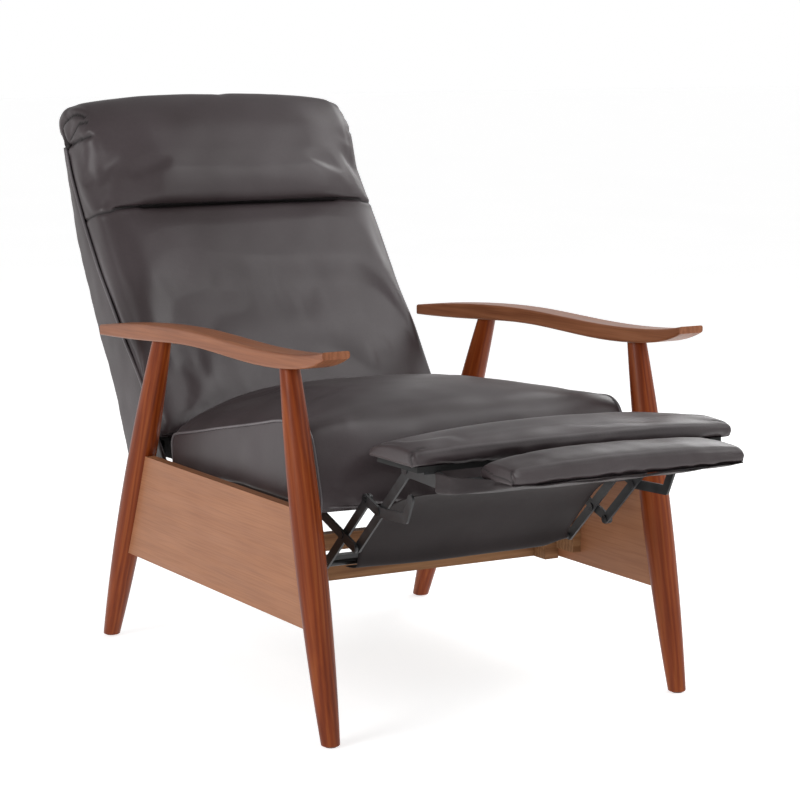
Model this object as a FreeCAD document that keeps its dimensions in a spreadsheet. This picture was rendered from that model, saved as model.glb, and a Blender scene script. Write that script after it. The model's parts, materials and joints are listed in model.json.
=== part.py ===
"""Wooden recliner armchair with a pull-out footrest, in millimetres.

+X is the sitter's left, -Y is the front, +Z is up.  The origin is on the floor, under the middle
of the chair.  It stands with its footrest out and its back in the half-way position.
"""
import FreeCAD
import Part

import math
import os

import Sketcher

V = FreeCAD.Vector
X_AXIS = V(1, 0, 0)
Y_AXIS = V(0, 1, 0)
Z_AXIS = V(0, 0, 1)

doc = FreeCAD.newDocument("recliner_armchair")
nodes = []

# ---------------------------------------------------------------- driving dimensions

DIMENSIONS = [
    # wooden side frames
    ("leg_plane", 330),
    ("leg_foot_radius", 14),
    ("leg_belly_radius", 25),
    ("leg_head_radius", 15.5),
    ("glide_thickness", 2),
    ("glide_radius", 9),
    ("foot_edge_radius", 2.5),
    ("arm_inner", 306),
    ("arm_width", 47.5),
    ("arm_edge_radius", 4),
    ("panel_inner", 318),
    ("panel_thickness", 18),
    ("panel_top", 360),
    ("panel_bottom", 172),
    ("rail_bottom", 168),
    ("rail_height", 31),
    ("rail_depth", 25),
    ("front_rail_face", -36),
    ("rear_rail_face", 190),
    ("corner_block_width", 28),
    ("corner_block_depth", 38),
    ("cleat_width", 16),
    ("cleat_depth", 54),
    ("cleat_height", 50),
    # steel mechanism: flat plates side by side, with a gap between neighbours
    ("steel", 4),
    ("front_links_inner", 234),
    ("rear_links_inner", 240),
    ("seat_plate_inner", 246),
    ("swing_links_inner", 252),
    ("base_flange_inner", 258),
    ("base_angle_width", 27),
    ("base_angle_height", 38),
    ("cross_bar_depth", 18),
    ("cross_bar_height", 11),
    ("link_half_width", 8),
    ("swing_half_width", 10),
    ("pin_radius", 4),
    ("running_gap", 0.08),
    ("pin_head_radius", 7),
    ("pin_head", 1.5),
    ("pin_clearance", 1.5),
    ("apron_bar_radius", 5),
    # seat
    ("seat_half_width", 294),
    ("seat_rail_width", 20),
    ("seat_rail_bottom", 352),
    ("seat_rail_height", 40),
    ("seat_rail_inner", 250),
    ("strap_thickness", 2),
    ("strap_width", 50),
    # back
    ("back_half_width", 291),
    ("back_board_inner", 256),
    ("back_board_thickness", 18),
    ("back_cover_wall", 4),
    ("back_rail_depth", 18),
    # footrest
    ("main_pad_half_width", 292),
    ("flipper_pad_half_width", 206),
    ("apron_half_width", 204),
    ("footrest_board", 9),
    ("cloth_gap", 0.4),
]

sheet = doc.addObject("Spreadsheet::Sheet", "Dims")
for row, (alias, value) in enumerate(DIMENSIONS, start=1):
    sheet.set("A%d" % row, alias)
    sheet.set("B%d" % row, str(value))
    sheet.setAlias("B%d" % row, alias)
doc.recompute()


def dim(alias):
    """A driving dimension, read from the sheet."""
    return float(sheet.get(alias))


# ---------------------------------------------------------------- pivots, as (y, z)

FOOTREST_ROOT = (-200.0, 340.0)      # rear link on the seat plate
LINK_ELBOW = (-343.0, 292.0)         # rear link to front link
FOOTREST_PIVOT = (-508.0, 442.0)     # front link to the footrest bracket
TOP_PIVOT = (-379.0, 377.0)          # long link to top link
FLIPPER_PIVOT = (-622.0, 437.0)      # footrest bracket to flipper bracket
BACK_PIVOT = (322.0, 368.0)          # seat plate to back bracket
SWING_FEET = ((-5.0, 221.0), (205.0, 221.0))
SWING_LENGTH = 80.0
SWING_LEAN = 5.0                     # degrees to the rear, at rest
LONG_LINK_TAIL = 90.0                # from the scissor pivot down to the apron bar
TOP_LINK_KNEE = (-506.0, 366.0)
TOP_LINK_TIP = (-522.0, 398.0)


def towards(start, end, distance):
    """The point at a distance from start on the line to end."""
    length = math.hypot(end[0] - start[0], end[1] - start[1])
    return tuple(a + (b - a) * distance / length for a, b in zip(start, end))


def crossing(start, direction_to, other, other_direction_to):
    """Where a line through start, parallel to a link, meets another such line."""
    ay, az = (b - a for a, b in zip(*direction_to))
    by, bz = (b - a for a, b in zip(*other_direction_to))
    wide, tall = other[0] - start[0], other[1] - start[1]
    share = (wide * bz - tall * by) / (ay * bz - az * by)
    return start[0] + ay * share, start[1] + az * share


REAR_LINE = (FOOTREST_ROOT, LINK_ELBOW)
FRONT_LINE = (LINK_ELBOW, FOOTREST_PIVOT)
# The two crossings close a parallelogram with the elbow and the top pivot.
REAR_CROSSING = crossing(LINK_ELBOW, REAR_LINE, TOP_PIVOT, FRONT_LINE)
FRONT_CROSSING = crossing(LINK_ELBOW, FRONT_LINE, TOP_PIVOT, REAR_LINE)
APRON_BAR = towards(REAR_CROSSING, TOP_PIVOT, -LONG_LINK_TAIL)
SWING_HEADS = tuple(
    (
        y + SWING_LENGTH * math.sin(math.radians(SWING_LEAN)),
        z + SWING_LENGTH * math.cos(math.radians(SWING_LEAN)),
    )
    for y, z in SWING_FEET
)

# ---------------------------------------------------------------- helpers

SIDES = (("right", -1), ("left", 1))


def keep(thing, label):
    """Names a finished sub-part and lists it for export."""
    thing.Label = label
    nodes.append(thing)
    return thing


def origin_plane(body, role):
    return next(f for f in body.Origin.OriginFeatures if f.Role == role)


def offset_expression(inner, thickness, side):
    """Where a plate's sketch lies: its lower face along X, on either side of the chair."""
    if side > 0:
        return "Dims.%s" % inner
    return "-(Dims.%s + Dims.%s)" % (inner, thickness)


def side_sketch(body, name, offset):
    """A sketch across X, whose own x and y are the chair's Y and Z."""
    sketch = body.newObject("Sketcher::SketchObject", name)
    sketch.AttachmentSupport = (origin_plane(body, "YZ_Plane"), [""])
    sketch.MapMode = "FlatFace"
    sketch.setExpression("AttachmentOffset.Base.z", offset)
    return sketch


def draw_outline(sketch, points):
    ends = list(points[1:]) + [points[0]]
    for a, b in zip(points, ends):
        sketch.addGeometry(Part.LineSegment(V(*a, 0), V(*b, 0)))


def draw_slot(sketch, start, end, radius):
    """A bar with round ends, centred on two pivots."""
    along = V(end[0] - start[0], end[1] - start[1], 0).normalize()
    across = V(-along.y, along.x, 0) * radius
    a, b = V(*start, 0), V(*end, 0)
    sketch.addGeometry(Part.LineSegment(a + across, b + across))
    sketch.addGeometry(Part.Arc(b + across, b + along * radius, b - across))
    sketch.addGeometry(Part.LineSegment(b - across, a - across))
    sketch.addGeometry(Part.Arc(a - across, a - along * radius, a + across))


def pad(body, sketch, length):
    feature = body.newObject("PartDesign::Pad", sketch.Name + "_pad")
    feature.Profile = sketch
    feature.setExpression("Length", length)
    sketch.Visibility = False
    return feature


def drill(body, centres, radius, inner, thickness, side):
    """Cuts round holes through a plate and makes sure that they were cut."""
    doc.recompute()
    before = body.Shape.Volume
    outer = "Dims.%s + Dims.%s" % (inner, thickness) if side > 0 else "-Dims.%s" % inner
    sketch = side_sketch(body, body.Name + "_holes", outer)
    for y, z in centres:
        hole = sketch.addGeometry(Part.Circle(V(y, z, 0), Z_AXIS, 1))
        number = sketch.addConstraint(Sketcher.Constraint("Radius", hole, 1))
        sketch.setExpression("Constraints[%d]" % number, radius)
    pocket = body.newObject("PartDesign::Pocket", body.Name + "_pocket")
    pocket.Profile = sketch
    pocket.setExpression("Length", "Dims.%s" % thickness)
    doc.recompute()
    if body.Shape.Volume > before - 1:
        raise RuntimeError("no hole was cut in " + body.Label)


PIN_HOLE = "Dims.pin_radius + Dims.running_gap"


def plate(label, outline, inner, thickness, side, holes=(), hole_size=PIN_HOLE):
    """A flat piece across X with a straight outline, drilled where asked."""
    body = doc.addObject("PartDesign::Body", label)
    sketch = side_sketch(body, label + "_outline", offset_expression(inner, thickness, side))
    draw_outline(sketch, outline)
    pad(body, sketch, "Dims.%s" % thickness)
    if holes:
        drill(body, holes, hole_size, inner, thickness, side)
    return body


def across(label, outline, half_width):
    """A piece of one outline right across the chair."""
    body = doc.addObject("PartDesign::Body", label)
    sketch = side_sketch(body, label + "_outline", "-(%s)" % half_width)
    draw_outline(sketch, outline)
    pad(body, sketch, "2 * (%s)" % half_width)
    return body


def hollow(label, base, outline, half_width):
    """Takes a space of one outline out of a piece."""
    space = across(label + "_space", outline, half_width)
    return cut(label, base, space)


def link(label, points, inner, side, width="link_half_width"):
    """A steel bar through its pivots, round at each and drilled at those given."""
    body = doc.addObject("PartDesign::Body", label)
    offset = offset_expression(inner, "steel", side)
    for number, (start, end) in enumerate(zip(points, points[1:])):
        sketch = side_sketch(body, "%s_leg%d" % (label, number), offset)
        draw_slot(sketch, start, end, dim(width))
        pad(body, sketch, "Dims.steel")
    return body


def pivoted_link(label, points, holes, inner, side, width="link_half_width"):
    body = link(label, points, inner, side, width)
    drill(body, holes, PIN_HOLE, inner, "steel", side)
    return body


def rod(name, centre, low, high, radius):
    """A round bar along X between two places, each an expression."""
    piece = doc.addObject("Part::Cylinder", name)
    piece.setExpression("Radius", radius)
    piece.setExpression("Height", "(%s) - (%s)" % (high, low))
    piece.Placement = FreeCAD.Placement(V(0, *centre), FreeCAD.Rotation(Y_AXIS, 90))
    piece.setExpression("Placement.Base.x", low)
    return piece


def rivet(name, centre, low, high, side, radius="Dims.pin_radius", head="Dims.pin_head",
          head_radius="Dims.pin_head_radius"):
    """A shank with a head at each end, across the plates between two distances from the middle."""
    if side > 0:
        inner, outer = low, high
    else:
        inner, outer = "-(%s)" % high, "-(%s)" % low
    shank = rod(name + "_shank", centre, inner, outer, radius)
    near = rod(name + "_near", centre, "%s - %s" % (inner, head), inner, head_radius)
    far = rod(name + "_far", centre, outer, "%s + %s" % (outer, head), head_radius)
    whole = doc.addObject("Part::MultiFuse", name)
    whole.Shapes = [shank, near, far]
    return whole


def group(label, pieces):
    """Identical fasteners that share one node, each its own solid."""
    compound = doc.addObject("Part::Compound", label)
    compound.Links = pieces
    return keep(compound, label)


def block(label, low, size):
    """A straight block from its lowest corner, each value an expression."""
    piece = doc.addObject("Part::Box", label)
    for name, value in zip(("Length", "Width", "Height"), size):
        piece.setExpression(name, value)
    for name, value in zip("xyz", low):
        piece.setExpression("Placement.Base." + name, value)
    return piece


def cut(label, base, tool):
    piece = doc.addObject("Part::Cut", label)
    piece.Base = base
    piece.Tool = tool
    return piece


def fillet_edges(label, base, radius, wanted):
    """Rounds the edges that a test picks out."""
    doc.recompute()
    piece = doc.addObject("Part::Fillet", label)
    piece.Base = base
    piece.Edges = [
        (number, radius, radius)
        for number, edge in enumerate(base.Shape.Edges, start=1)
        if wanted(edge)
    ]
    return piece


# ---------------------------------------------------------------- armrests and legs

ARM_TOP = ((-449, 622), (-396, 613), (-339, 608), (-220, 604), (30, 607.5), (230, 599), (412, 581))
ARM_UNDERSIDE = (
    (-449, 610), (-424, 600), (-396, 592.5), (-339, 584), (-220, 577.5), (20, 581.5),
    (200, 572.5), (412, 562),
)


def smooth(points):
    curve = Part.BSplineCurve()
    curve.interpolate([V(*p, 0) for p in points])
    return curve


def armrest(side_name, side):
    """A sawn board, level behind, that sweeps up to a square-cut tip in front."""
    label = "armrest_" + side_name
    body = doc.addObject("PartDesign::Body", label + "_board")
    sketch = side_sketch(body, label + "_outline", offset_expression("arm_inner", "arm_width", side))
    sketch.addGeometry(smooth(ARM_TOP))
    sketch.addGeometry(Part.LineSegment(V(*ARM_TOP[-1], 0), V(*ARM_UNDERSIDE[-1], 0)))
    sketch.addGeometry(smooth(ARM_UNDERSIDE))
    sketch.addGeometry(Part.LineSegment(V(*ARM_UNDERSIDE[0], 0), V(*ARM_TOP[0], 0)))
    pad(body, sketch, "Dims.arm_width")
    long_edge = 300
    return keep(
        fillet_edges(label, body, dim("arm_edge_radius"), lambda e: e.Length > long_edge), label
    )


# foot and head of each leg's axis, as (y, z), and the way along it where it is thickest
LEGS = {
    "front_leg": ((-423, 0), (-295, 577)),
    "rear_leg": ((442, 0), (192, 572)),
}
LEG_BELLY = 0.5
LEG_BELOW_FLOOR = 12
LEG_INTO_ARM = 14


def leg(name, side_name, side, arm):
    """A turned leg that leans along the side frame, cut flat at the floor and coped to the arm."""
    label = "%s_%s" % (name, side_name)
    foot, head = LEGS[name]
    length = math.dist(foot, head)
    lean = math.degrees(math.atan2(foot[0] - head[0], head[1] - foot[1]))
    foot_radius, head_radius = dim("leg_foot_radius"), dim("leg_head_radius")
    belly = V(dim("leg_belly_radius"), length * LEG_BELLY, 0)
    low, high = -LEG_BELOW_FLOOR, length + LEG_INTO_ARM
    body = doc.addObject("PartDesign::Body", label + "_turning")
    sketch = body.newObject("Sketcher::SketchObject", label + "_half")
    sketch.AttachmentSupport = (origin_plane(body, "XZ_Plane"), [""])
    sketch.MapMode = "FlatFace"
    sketch.addGeometry(Part.LineSegment(V(0, low, 0), V(foot_radius, low, 0)))
    sketch.addGeometry(Part.Arc(V(foot_radius, low, 0), belly, V(head_radius, high, 0)))
    sketch.addGeometry(Part.LineSegment(V(head_radius, high, 0), V(0, high, 0)))
    sketch.addGeometry(Part.LineSegment(V(0, high, 0), V(0, low, 0)))
    turning = body.newObject("PartDesign::Revolution", label + "_revolution")
    turning.Profile = sketch
    turning.ReferenceAxis = (sketch, ["V_Axis"])
    turning.Angle = 360
    sketch.Visibility = False
    body.Placement = FreeCAD.Placement(V(0, *foot), FreeCAD.Rotation(X_AXIS, lean))
    body.setExpression("Placement.Base.x", "%d * Dims.leg_plane" % side)
    under = block(label + "_ground", ("-500", "-600", "-100"),
                  ("1000", "1200", "100 + Dims.glide_thickness"))
    standing = cut(label + "_standing", body, under)
    coped = cut(label + "_coped", standing, arm)
    return keep(
        fillet_edges(
            label, coped, dim("foot_edge_radius"),
            lambda e: e.BoundBox.ZMax < dim("glide_thickness") + 0.1,
        ),
        label,
    )


def side_panel(side_name, side, front_leg, rear_leg):
    """A flat board between the legs of one side, coped round both."""
    label = "side_panel_" + side_name
    top, bottom = dim("panel_top"), dim("panel_bottom")

    def on_leg(name, height):
        foot, head = LEGS[name]
        return foot[0] + (head[0] - foot[0]) * height / head[1], height

    outline = [on_leg("front_leg", bottom), on_leg("rear_leg", bottom),
               on_leg("rear_leg", top), on_leg("front_leg", top)]
    board = plate(label + "_board", outline, "panel_inner", "panel_thickness", side)
    coped = cut(label + "_front", board, front_leg)
    return keep(cut(label, coped, rear_leg), label)


for side_name, side in SIDES:
    arm = armrest(side_name, side)
    front = leg("front_leg", side_name, side, arm)
    rear = leg("rear_leg", side_name, side, arm)
    side_panel(side_name, side, front, rear)

glides = []
for side_name, side in SIDES:
    for name, (foot, head) in LEGS.items():
        glide = doc.addObject("Part::Cylinder", "glide_%s_%s" % (name, side_name))
        glide.setExpression("Radius", "Dims.glide_radius")
        glide.setExpression("Height", "Dims.glide_thickness")
        glide.Placement.Base = V(0, foot[0], 0)
        glide.setExpression("Placement.Base.x", "%d * Dims.leg_plane" % side)
        glides.append(glide)
group("foot_glides", glides)

# ---------------------------------------------------------------- rails between the side panels

for label, face in (("front_cross_rail", "front_rail_face"), ("rear_cross_rail", "rear_rail_face")):
    keep(
        block(label, ("-Dims.panel_inner", "Dims." + face, "Dims.rail_bottom"),
              ("2 * Dims.panel_inner", "Dims.rail_depth", "Dims.rail_height")),
        label,
    )

corners = []
for side_name, side in SIDES:
    start = "Dims.panel_inner - Dims.corner_block_width" if side > 0 else "-Dims.panel_inner"
    corners.append(
        block("front_corner_block_" + side_name,
              (start, "Dims.front_rail_face - Dims.corner_block_depth", "Dims.rail_bottom"),
              ("Dims.corner_block_width", "Dims.corner_block_depth", "Dims.rail_height"))
    )
    corners.append(
        block("rear_corner_block_" + side_name,
              (start, "Dims.rear_rail_face + Dims.rail_depth", "Dims.rail_bottom"),
              ("Dims.corner_block_width", "Dims.corner_block_depth", "Dims.rail_height"))
    )

# An upright block on each panel, in front of the rail.
CLEAT_PLACE = (-146, 192)
for side_name, side in SIDES:
    start = "Dims.panel_inner - Dims.cleat_width" if side > 0 else "-Dims.panel_inner"
    corners.append(
        block("panel_cleat_" + side_name, (start, "%d" % CLEAT_PLACE[0], "%d" % CLEAT_PLACE[1]),
              ("Dims.cleat_width", "Dims.cleat_depth", "Dims.cleat_height"))
    )
group("corner_blocks", corners)

# ---------------------------------------------------------------- steel base: angles and cross bar

ANGLE_FRONT, ANGLE_REAR = -34, 222
angle_foot = dim("rail_bottom") + dim("rail_height")
for side_name, side in SIDES:
    label = "base_angle_" + side_name
    top = angle_foot + dim("base_angle_height")
    body = plate(
        label,
        [(ANGLE_FRONT, angle_foot), (ANGLE_REAR, angle_foot), (ANGLE_REAR, top), (ANGLE_FRONT, top)],
        "base_flange_inner", "steel", side,
    )
    flange = side_sketch(body, label + "_flange",
                         offset_expression("base_flange_inner", "base_angle_width", side))
    lip = angle_foot + dim("steel")
    draw_outline(flange, [(ANGLE_FRONT, angle_foot), (ANGLE_REAR, angle_foot),
                          (ANGLE_REAR, lip), (ANGLE_FRONT, lip)])
    pad(body, flange, "Dims.base_angle_width")
    drill(body, SWING_FEET, PIN_HOLE, "base_flange_inner", "steel", side)
    keep(body, label)

keep(
    block("base_cross_bar",
          ("-Dims.base_flange_inner", "Dims.front_rail_face + 3",
           "Dims.rail_bottom + Dims.rail_height"),
          ("2 * Dims.base_flange_inner", "Dims.cross_bar_depth", "Dims.cross_bar_height")),
    "base_cross_bar",
)

# ---------------------------------------------------------------- swing links that carry the seat

for name, foot, head in zip(("front", "rear"), SWING_FEET, SWING_HEADS):
    group(name + "_swing_links", [
        pivoted_link("%s_swing_link_%s" % (name, side_name), (foot, head), (foot, head),
                     "swing_links_inner", side, "swing_half_width")
        for side_name, side in SIDES
    ])

group("swing_foot_pins", [
    rivet("swing_foot_pin_%s_%d" % (side_name, number), foot,
          "Dims.swing_links_inner - 0.5", "Dims.base_flange_inner + Dims.steel", side)
    for side_name, side in SIDES
    for number, foot in enumerate(SWING_FEET)
])

# ---------------------------------------------------------------- seat: plates, rails, straps, cushion

SEAT_PLATE = (
    (-218, 326), (-218, 388), (205, 388), (222, 372), (262, 359), (322, 383), (334, 366), (322, 352),
    (262, 331), (228, 288), (-14, 288), (-70, 326),
)
SEAT_RAIL_FRONT, SEAT_RAIL_REAR = -308, 205
for side_name, side in SIDES:
    label = "seat_plate_" + side_name
    keep(plate(label, SEAT_PLATE, "seat_plate_inner", "steel", side,
               (FOOTREST_ROOT, BACK_PIVOT) + SWING_HEADS), label)
    low = dim("seat_rail_bottom")
    high = low + dim("seat_rail_height")
    rail = plate(
        "seat_side_rail_" + side_name,
        [(SEAT_RAIL_FRONT, low), (SEAT_RAIL_REAR, low), (SEAT_RAIL_REAR, high), (SEAT_RAIL_FRONT, high)],
        "seat_rail_inner", "seat_rail_width", side,
    )
    keep(rail, "seat_side_rail_" + side_name)

for label, start, half in (
    ("seat_front_rail", "%g" % SEAT_RAIL_FRONT, "Dims.seat_rail_inner"),
    ("seat_rear_rail", "%g - Dims.seat_rail_width" % SEAT_RAIL_REAR, "(Dims.seat_plate_inner - 0.5)"),
):
    keep(block(label, ("-" + half, start, "Dims.seat_rail_bottom"),
               ("2 * " + half, "Dims.seat_rail_width", "Dims.seat_rail_height")), label)

STRAP_PLACES = (-180, -90, 0, 90, 180)
group("seat_straps", [
    block("seat_strap_%d" % number,
          ("%d - Dims.strap_width / 2" % place, "%g" % SEAT_RAIL_FRONT,
           "Dims.seat_rail_bottom + Dims.seat_rail_height"),
          ("Dims.strap_width", "%g" % (SEAT_RAIL_REAR - SEAT_RAIL_FRONT), "Dims.strap_thickness"))
    for number, place in enumerate(STRAP_PLACES)
])

# Shoulder rivets of the seat plates: footrest, swing links and back.
pins = []
for side_name, side in SIDES:
    pins.append(rivet("footrest_root_pin_" + side_name, FOOTREST_ROOT,
                      "Dims.rear_links_inner - 0.3", "Dims.seat_plate_inner + Dims.steel", side))
    for number, head in enumerate(SWING_HEADS):
        pins.append(rivet("swing_head_pin_%s_%d" % (side_name, number), head,
                          "Dims.seat_plate_inner", "Dims.swing_links_inner + Dims.steel + 0.3", side))
    pins.append(rivet("back_pin_" + side_name, BACK_PIVOT,
                      "Dims.seat_plate_inner", "Dims.swing_links_inner + Dims.steel", side))
group("seat_plate_pins", pins)

SEAT_CUSHION = (
    (-325, 350), (-333, 366), (-321, 410), (-311, 446), (-301, 475), (-280, 494), (-175, 506),
    (-79, 503), (54, 493), (194, 472), (262, 452), (268, 440), (252, 400), (228, 352),
)

CAVITY = ((-310, 300), (270, 300), (270, 396), (-310, 396))
keep(
    hollow("seat_cushion", across("seat_cushion_block", SEAT_CUSHION, "Dims.seat_half_width"),
           CAVITY, "Dims.seat_rail_inner + Dims.seat_rail_width + 3"),
    "seat_cushion",
)

# ---------------------------------------------------------------- back, leaning 38 degrees at rest

# The frame is a wedge between the seam line behind the cushion and the rear panel.
SEAM_LOW, SEAM_HIGH = (262, 340), (694, 870)
REAR_LOW, REAR_HIGH = (440, 333), (722, 878)
REAR_SWELL = ((559, 534), (603, 605), (657, 695), (692, 788), (713, 844))


def shifted(a, b, distance):
    """The line from a to b, moved sideways; positive moves it towards the rear and down."""
    length = math.dist(a, b)
    across_y, across_z = (b[1] - a[1]) / length, -(b[0] - a[0]) / length
    return tuple((y + across_y * distance, z + across_z * distance) for y, z in (a, b))


cover_wall = dim("back_cover_wall")
inner_rear = shifted(REAR_LOW, REAR_HIGH, -cover_wall)
top_thickness = 6
inner_top_front = towards(SEAM_HIGH, SEAM_LOW, top_thickness)
inner_top_rear = towards(inner_rear[1], inner_rear[0], top_thickness)
below = 40
inside = (
    (SEAM_LOW[0] - below, SEAM_LOW[1] - below),
    (inner_rear[0][0] - 0.5 * below, inner_rear[0][1] - below),
    inner_top_rear,
    inner_top_front,
    (inner_top_front[0] - below, inner_top_front[1]),
)
keep(
    hollow("back_cover",
           across("back_cover_block", (SEAM_LOW, REAR_LOW) + REAR_SWELL + (REAR_HIGH, SEAM_HIGH),
                  "Dims.back_half_width"),
           inside, "Dims.back_half_width - Dims.back_cover_wall"),
    "back_cover",
)

gap = dim("cloth_gap")
board_front = shifted(SEAM_LOW, SEAM_HIGH, gap)
board_rear = shifted(REAR_LOW, REAR_HIGH, -cover_wall - gap)
board_top = 14
BOARD = (
    (board_front[0][0] + 8, board_front[0][1] + 8),
    (board_rear[0][0] + 4, board_rear[0][1] + 8),
    towards(board_rear[1], board_rear[0], board_top),
    towards(board_front[1], board_front[0], board_top),
)
BRACKET = (
    (312, 356), (334, 358), (372, 404), (436, 488), (424, 498), (352, 412), (312, 382),
)
for side_name, side in SIDES:
    label = "back_side_board_" + side_name
    keep(plate(label, BOARD, "back_board_inner", "back_board_thickness", side,
               (BACK_PIVOT,), "Dims.pin_head_radius + Dims.pin_clearance"), label)
    label = "back_bracket_" + side_name
    keep(plate(label, BRACKET, "swing_links_inner", "steel", side, (BACK_PIVOT,)), label)


def lean_bar(label, line, start, length, depth):
    """A bar between the side boards that lies against a leaning line of the back."""
    foot = towards(line[0], line[1], start)
    top = towards(line[0], line[1], start + length)
    other = shifted(foot, top, depth)
    return keep(across(label, (foot, other[0], other[1], top), "Dims.back_board_inner"), label)


seam_length = math.dist(*board_front)
rear_length = math.dist(*board_rear)
rail_depth = dim("back_rail_depth")
lean_bar("back_top_rail", board_front, seam_length - 60, 42, 0.6 * rail_depth)
lean_bar("back_bottom_rail", board_rear, 10, 45, -rail_depth)
lean_bar("back_lumbar_rail", board_front, 95, 45, rail_depth)
straps = []
for number in range(4):
    start = 190 + 95 * number
    foot = towards(board_front[0], board_front[1], start)
    top = towards(board_front[0], board_front[1], start + dim("strap_width"))
    other = shifted(foot, top, dim("strap_thickness"))
    straps.append(across("back_strap_%d" % number, (foot, other[0], other[1], top),
                         "Dims.back_board_inner"))
group("back_straps", straps)

dust_front = (SEAM_LOW[0] + 60, SEAM_LOW[1] + 2)
keep(
    across("back_dust_cloth",
           (dust_front, (REAR_LOW[0] - 8, REAR_LOW[1] + 2), (REAR_LOW[0] - 8, REAR_LOW[1] + 4),
            (dust_front[0], dust_front[1] + 2)),
           "Dims.back_board_inner - Dims.back_rail_depth"),
    "back_dust_cloth",
)

seam = shifted(SEAM_LOW, SEAM_HIGH, -gap)
SPLIT = 560                                   # along the seam line, where the head cushion starts
split_low = towards(seam[0], seam[1], SPLIT - gap)
split_high = towards(seam[0], seam[1], SPLIT + gap)
keep(
    across("back_cushion",
           (towards(seam[0], seam[1], 60), (272, 400), (308, 452), (548, 779), split_low),
           "Dims.back_half_width"),
    "back_cushion",
)
keep(
    across("head_cushion",
           (split_high, (547, 781), (536, 802), (545, 834), (576, 888), (612, 934), (652, 966),
            (694, 983), (728, 981), (750, 965), (761, 938), (755, 908), (730, 886), (690, 879),
            seam[1]),
           "Dims.back_half_width"),
    "head_cushion",
)

# ---------------------------------------------------------------- footrest linkage

for side_name, side in SIDES:
    for name, points, holes, layer in (
        ("rear_footrest_link_", (FOOTREST_ROOT, LINK_ELBOW),
         (FOOTREST_ROOT, REAR_CROSSING, LINK_ELBOW), "rear_links_inner"),
        ("front_footrest_link_", (LINK_ELBOW, FOOTREST_PIVOT),
         (LINK_ELBOW, FRONT_CROSSING, FOOTREST_PIVOT), "front_links_inner"),
        ("long_footrest_link_", (APRON_BAR, TOP_PIVOT),
         (REAR_CROSSING, TOP_PIVOT), "front_links_inner"),
        ("top_footrest_link_", (TOP_PIVOT, FRONT_CROSSING, TOP_LINK_KNEE, TOP_LINK_TIP),
         (TOP_PIVOT, FRONT_CROSSING), "rear_links_inner"),
    ):
        keep(pivoted_link(name + side_name, points, holes, layer, side), name + side_name)

keep(
    rod("apron_bar", APRON_BAR, "-Dims.front_links_inner", "Dims.front_links_inner",
        "Dims.apron_bar_radius"),
    "apron_bar",
)


def link_pins(label, centres):
    """Rivets through a front link and a rear link that lie side by side."""
    return group(label, [
        rivet("%s_%s_%d" % (label, side_name, number), centre,
              "Dims.front_links_inner - 0.3", "Dims.rear_links_inner + Dims.steel", side)
        for side_name, side in SIDES
        for number, centre in enumerate(centres)
    ])


link_pins("rear_link_pins", (LINK_ELBOW, REAR_CROSSING))
link_pins("top_link_pins", (TOP_PIVOT,))
link_pins("front_link_pins", (FRONT_CROSSING, FOOTREST_PIVOT))
link_pins("flipper_pins", (FLIPPER_PIVOT,))

# ---------------------------------------------------------------- footrest boards, brackets and pads

FOOTREST_BRACKET = (
    (-496, 450), (-496, 437), (-505, 432), (-622, 427), (-633, 432), (-633, 444), (-612, 454),
    (-500, 454),
)
MAIN_LIP = ((-600, 450), (-500, 450), (-500, 454), (-600, 454))
FLIPPER_BRACKET = (
    (-612, 428), (-632, 428), (-660, 434), (-662, 447), (-640, 447), (-632, 446), (-612, 446),
)
FLIPPER_STRAP = ((-662, 443), (-640, 443), (-640, 447), (-662, 447))
FLIPPER_LIP = ((-722, 443), (-640, 443), (-640, 447), (-722, 447))
MAIN_LIP_WIDTH = 24
FLIPPER_STRAP_WIDTH = 54
FLIPPER_LIP_WIDTH = 18
brackets = []
flipper_brackets = []
for side_name, side in SIDES:
    label = "footrest_bracket_" + side_name
    body = plate(label, FOOTREST_BRACKET, "rear_links_inner", "steel", side)
    lip = side_sketch(body, label + "_lip", "Dims.rear_links_inner" if side > 0
                      else "-(Dims.rear_links_inner + %d)" % MAIN_LIP_WIDTH)
    draw_outline(lip, MAIN_LIP)
    pad(body, lip, str(MAIN_LIP_WIDTH))
    drill(body, (FOOTREST_PIVOT, FLIPPER_PIVOT), PIN_HOLE, "rear_links_inner", "steel", side)
    brackets.append(body)

    label = "flipper_bracket_" + side_name
    body = plate(label, FLIPPER_BRACKET, "front_links_inner", "steel", side)
    outer = "Dims.front_links_inner + Dims.steel"
    inner = "%s - %d" % (outer, FLIPPER_STRAP_WIDTH)
    strap = side_sketch(body, label + "_strap", inner if side > 0 else "-(%s)" % outer)
    draw_outline(strap, FLIPPER_STRAP)
    pad(body, strap, str(FLIPPER_STRAP_WIDTH))
    lip = side_sketch(body, label + "_lip",
                      inner if side > 0 else "-(%s + %d)" % (inner, FLIPPER_LIP_WIDTH))
    draw_outline(lip, FLIPPER_LIP)
    pad(body, lip, str(FLIPPER_LIP_WIDTH))
    drill(body, (FLIPPER_PIVOT,), PIN_HOLE, "front_links_inner", "steel", side)
    flipper_brackets.append(body)
group("footrest_brackets", brackets)
group("flipper_brackets", flipper_brackets)

board_depth = dim("footrest_board")


def footrest_board(label, front, rear, underside, half_width):
    top = underside + board_depth
    return keep(
        across(label, ((front, underside), (rear, underside), (rear, top), (front, top)), half_width),
        label,
    )


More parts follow.
